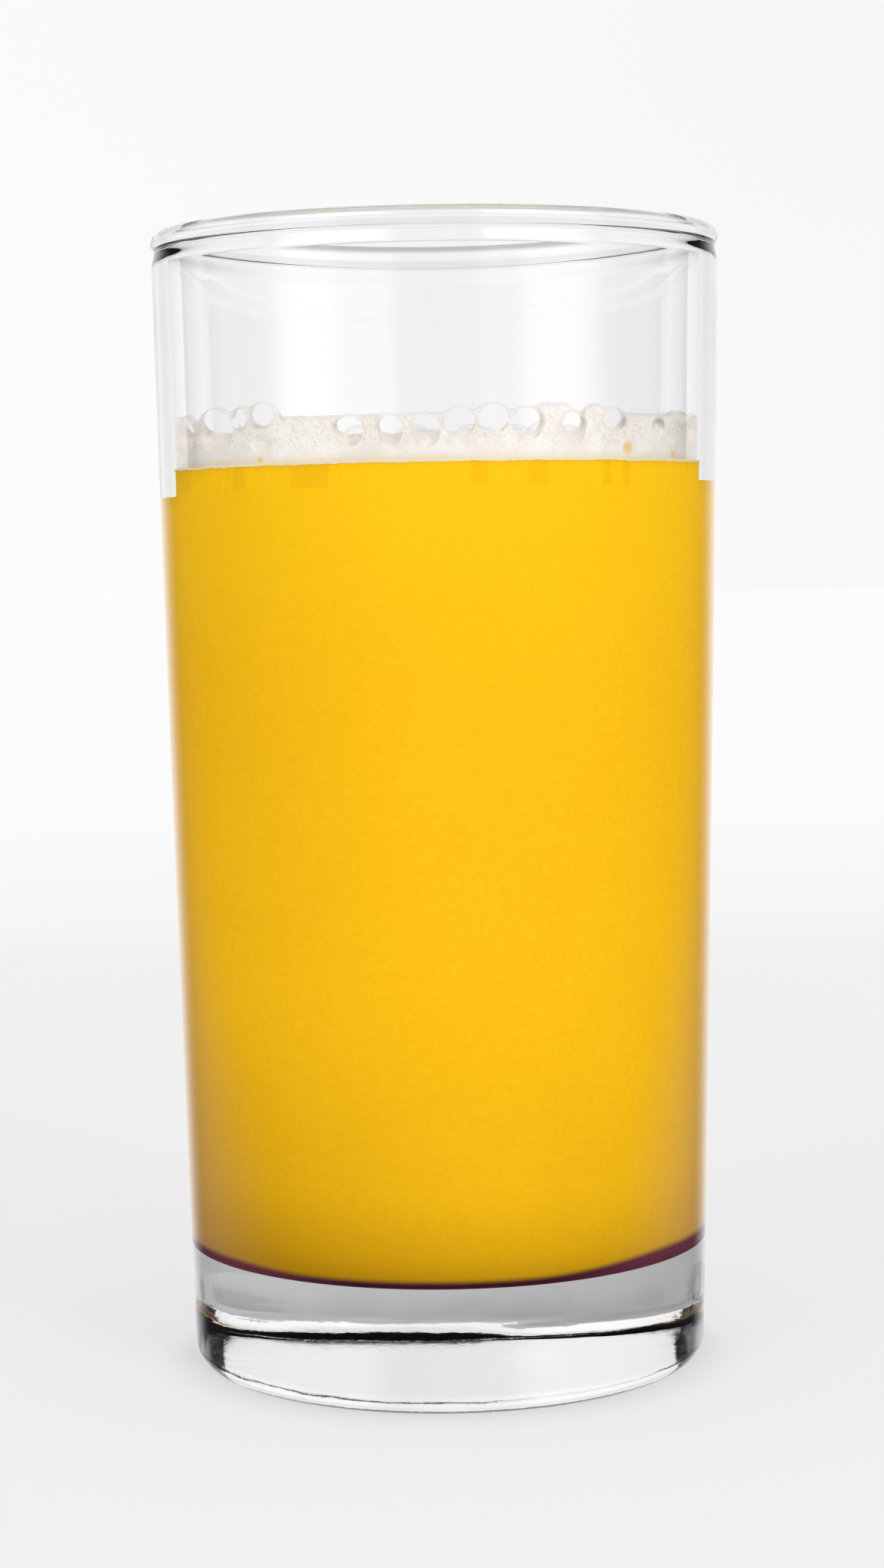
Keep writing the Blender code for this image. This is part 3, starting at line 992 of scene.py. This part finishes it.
def make_world():
    """The studio, whose soft light comes from the front and top.

    The camera sees only the pale backdrop. Reflections and rays through the glass find tones of
    their own.
    """
    world = bpy.data.worlds.new("studio")
    world.use_nodes = True
    n = Nodes(world.node_tree)
    direction = n.add("ShaderNodeTexCoord").outputs["Generated"]
    parts = n.add("ShaderNodeSeparateXYZ", {0: direction})
    east, north, up = parts.outputs
    turn = n.math("DEGREES", n.math("ARCTAN2", east, north))
    off_back = n.math("ABSOLUTE", turn)
    height = n.math("DEGREES", n.math("ARCSINE", up))

    across = n.ramp(turn, -9.0, 9.0, BACKDROP_LEFT, BACKDROP_RIGHT)
    across = n.mix(n.ramp(off_back, 60.0, 120.0), across, BACKDROP_EVEN)
    backdrop = n.math("ADD", across, n.ramp(height, -1.0, 9.0, 0.0, -0.02))
    off_front = n.math("SUBTRACT", 180.0, off_back)
    through = seen_through_glass(n, backdrop, off_back, off_front, turn, height)
    mirrored = seen_in_gloss(n, backdrop, off_back, off_front, height)

    towards = n.add(
        "ShaderNodeVectorMath",
        {0: direction, 1: (0.0, -math.cos(SOFTBOX_HEIGHT), math.sin(SOFTBOX_HEIGHT))},
        operation="DOT_PRODUCT",
    ).outputs["Value"]
    soft = n.ramp(towards, 0.2, 0.95, FILL_LIGHT, SOFTBOX_LIGHT)

    path = n.add("ShaderNodeLightPath")
    inside = n.ramp(path.outputs["Ray Depth"], *DEEP_PATH)
    mirrored = n.mix(inside, mirrored, through)
    colour = n.mix(path.outputs["Is Glossy Ray"], soft, mirrored)
    colour = n.mix(path.outputs["Is Transmission Ray"], colour, through)
    colour = n.mix(path.outputs["Is Camera Ray"], colour, backdrop)
    background = n.add("ShaderNodeBackground", {"Color": colour, "Strength": 1.0})
    n.add("ShaderNodeOutputWorld", {"Surface": background.outputs[0]})
    bpy.context.scene.world = world


def area_light(name, bearing, height, power):
    data = bpy.data.lights.new(name, "AREA")
    data.shape = "RECTANGLE"
    data.size, data.size_y = LAMP_SIZE
    data.energy = power
    lamp = bpy.data.objects.new(name, data)
    bpy.context.scene.collection.objects.link(lamp)
    bearing, height = math.radians(bearing), math.radians(height)
    flat = LAMP_DISTANCE * math.cos(height)
    lamp.location = LAMP_TARGET + place(bearing, flat, LAMP_DISTANCE * math.sin(height))
    lamp.rotation_euler = (LAMP_TARGET - lamp.location).to_track_quat("-Z", "Y").to_euler()
    lamp.visible_glossy = False
    lamp.visible_transmission = False


def make_lights():
    area_light("right_light", 36.0, 28.0, 3.8)
    area_light("left_light", -36.0, 28.0, 2.1)


def make_camera():
    data = bpy.data.cameras.new("camera")
    data.sensor_width = SENSOR_MM
    data.lens = LENS_MM
    camera = bpy.data.objects.new("camera", data)
    bpy.context.scene.collection.objects.link(camera)
    turn = Matrix.Rotation(math.pi / 2 - CAMERA_PITCH_DOWN, 4, "X")
    turn = turn @ Matrix.Rotation(CAMERA_ROLL, 4, "Z")
    camera.matrix_world = Matrix.Translation((0, -CAMERA_DISTANCE, CAMERA_HEIGHT)) @ turn
    bpy.context.scene.camera = camera


def set_up_looks():
    scene = bpy.context.scene
    scene.view_settings.view_transform = "Standard"
    scene.view_settings.look = "None"
    scene.cycles.max_bounces = 24
    scene.cycles.transmission_bounces = 20
    scene.cycles.transparent_max_bounces = 24
    scene.cycles.caustics_reflective = False
    scene.cycles.caustics_refractive = False


make_camera()
set_up_looks()
make_world()
make_lights()
make_floor()
make_glass()
make_juice()
bubble_list = wall_bubbles()
dome_list = dome_spots()
crest_list = crest_heights(bubble_list)
froth_body = make_froth(crest_list, froth_material())
cut_hollows(froth_body, bubble_list, dome_list)
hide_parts("froth")
mark_wetness(froth_body, bubble_list, crest_list)
make_domes(dome_list, film_material())
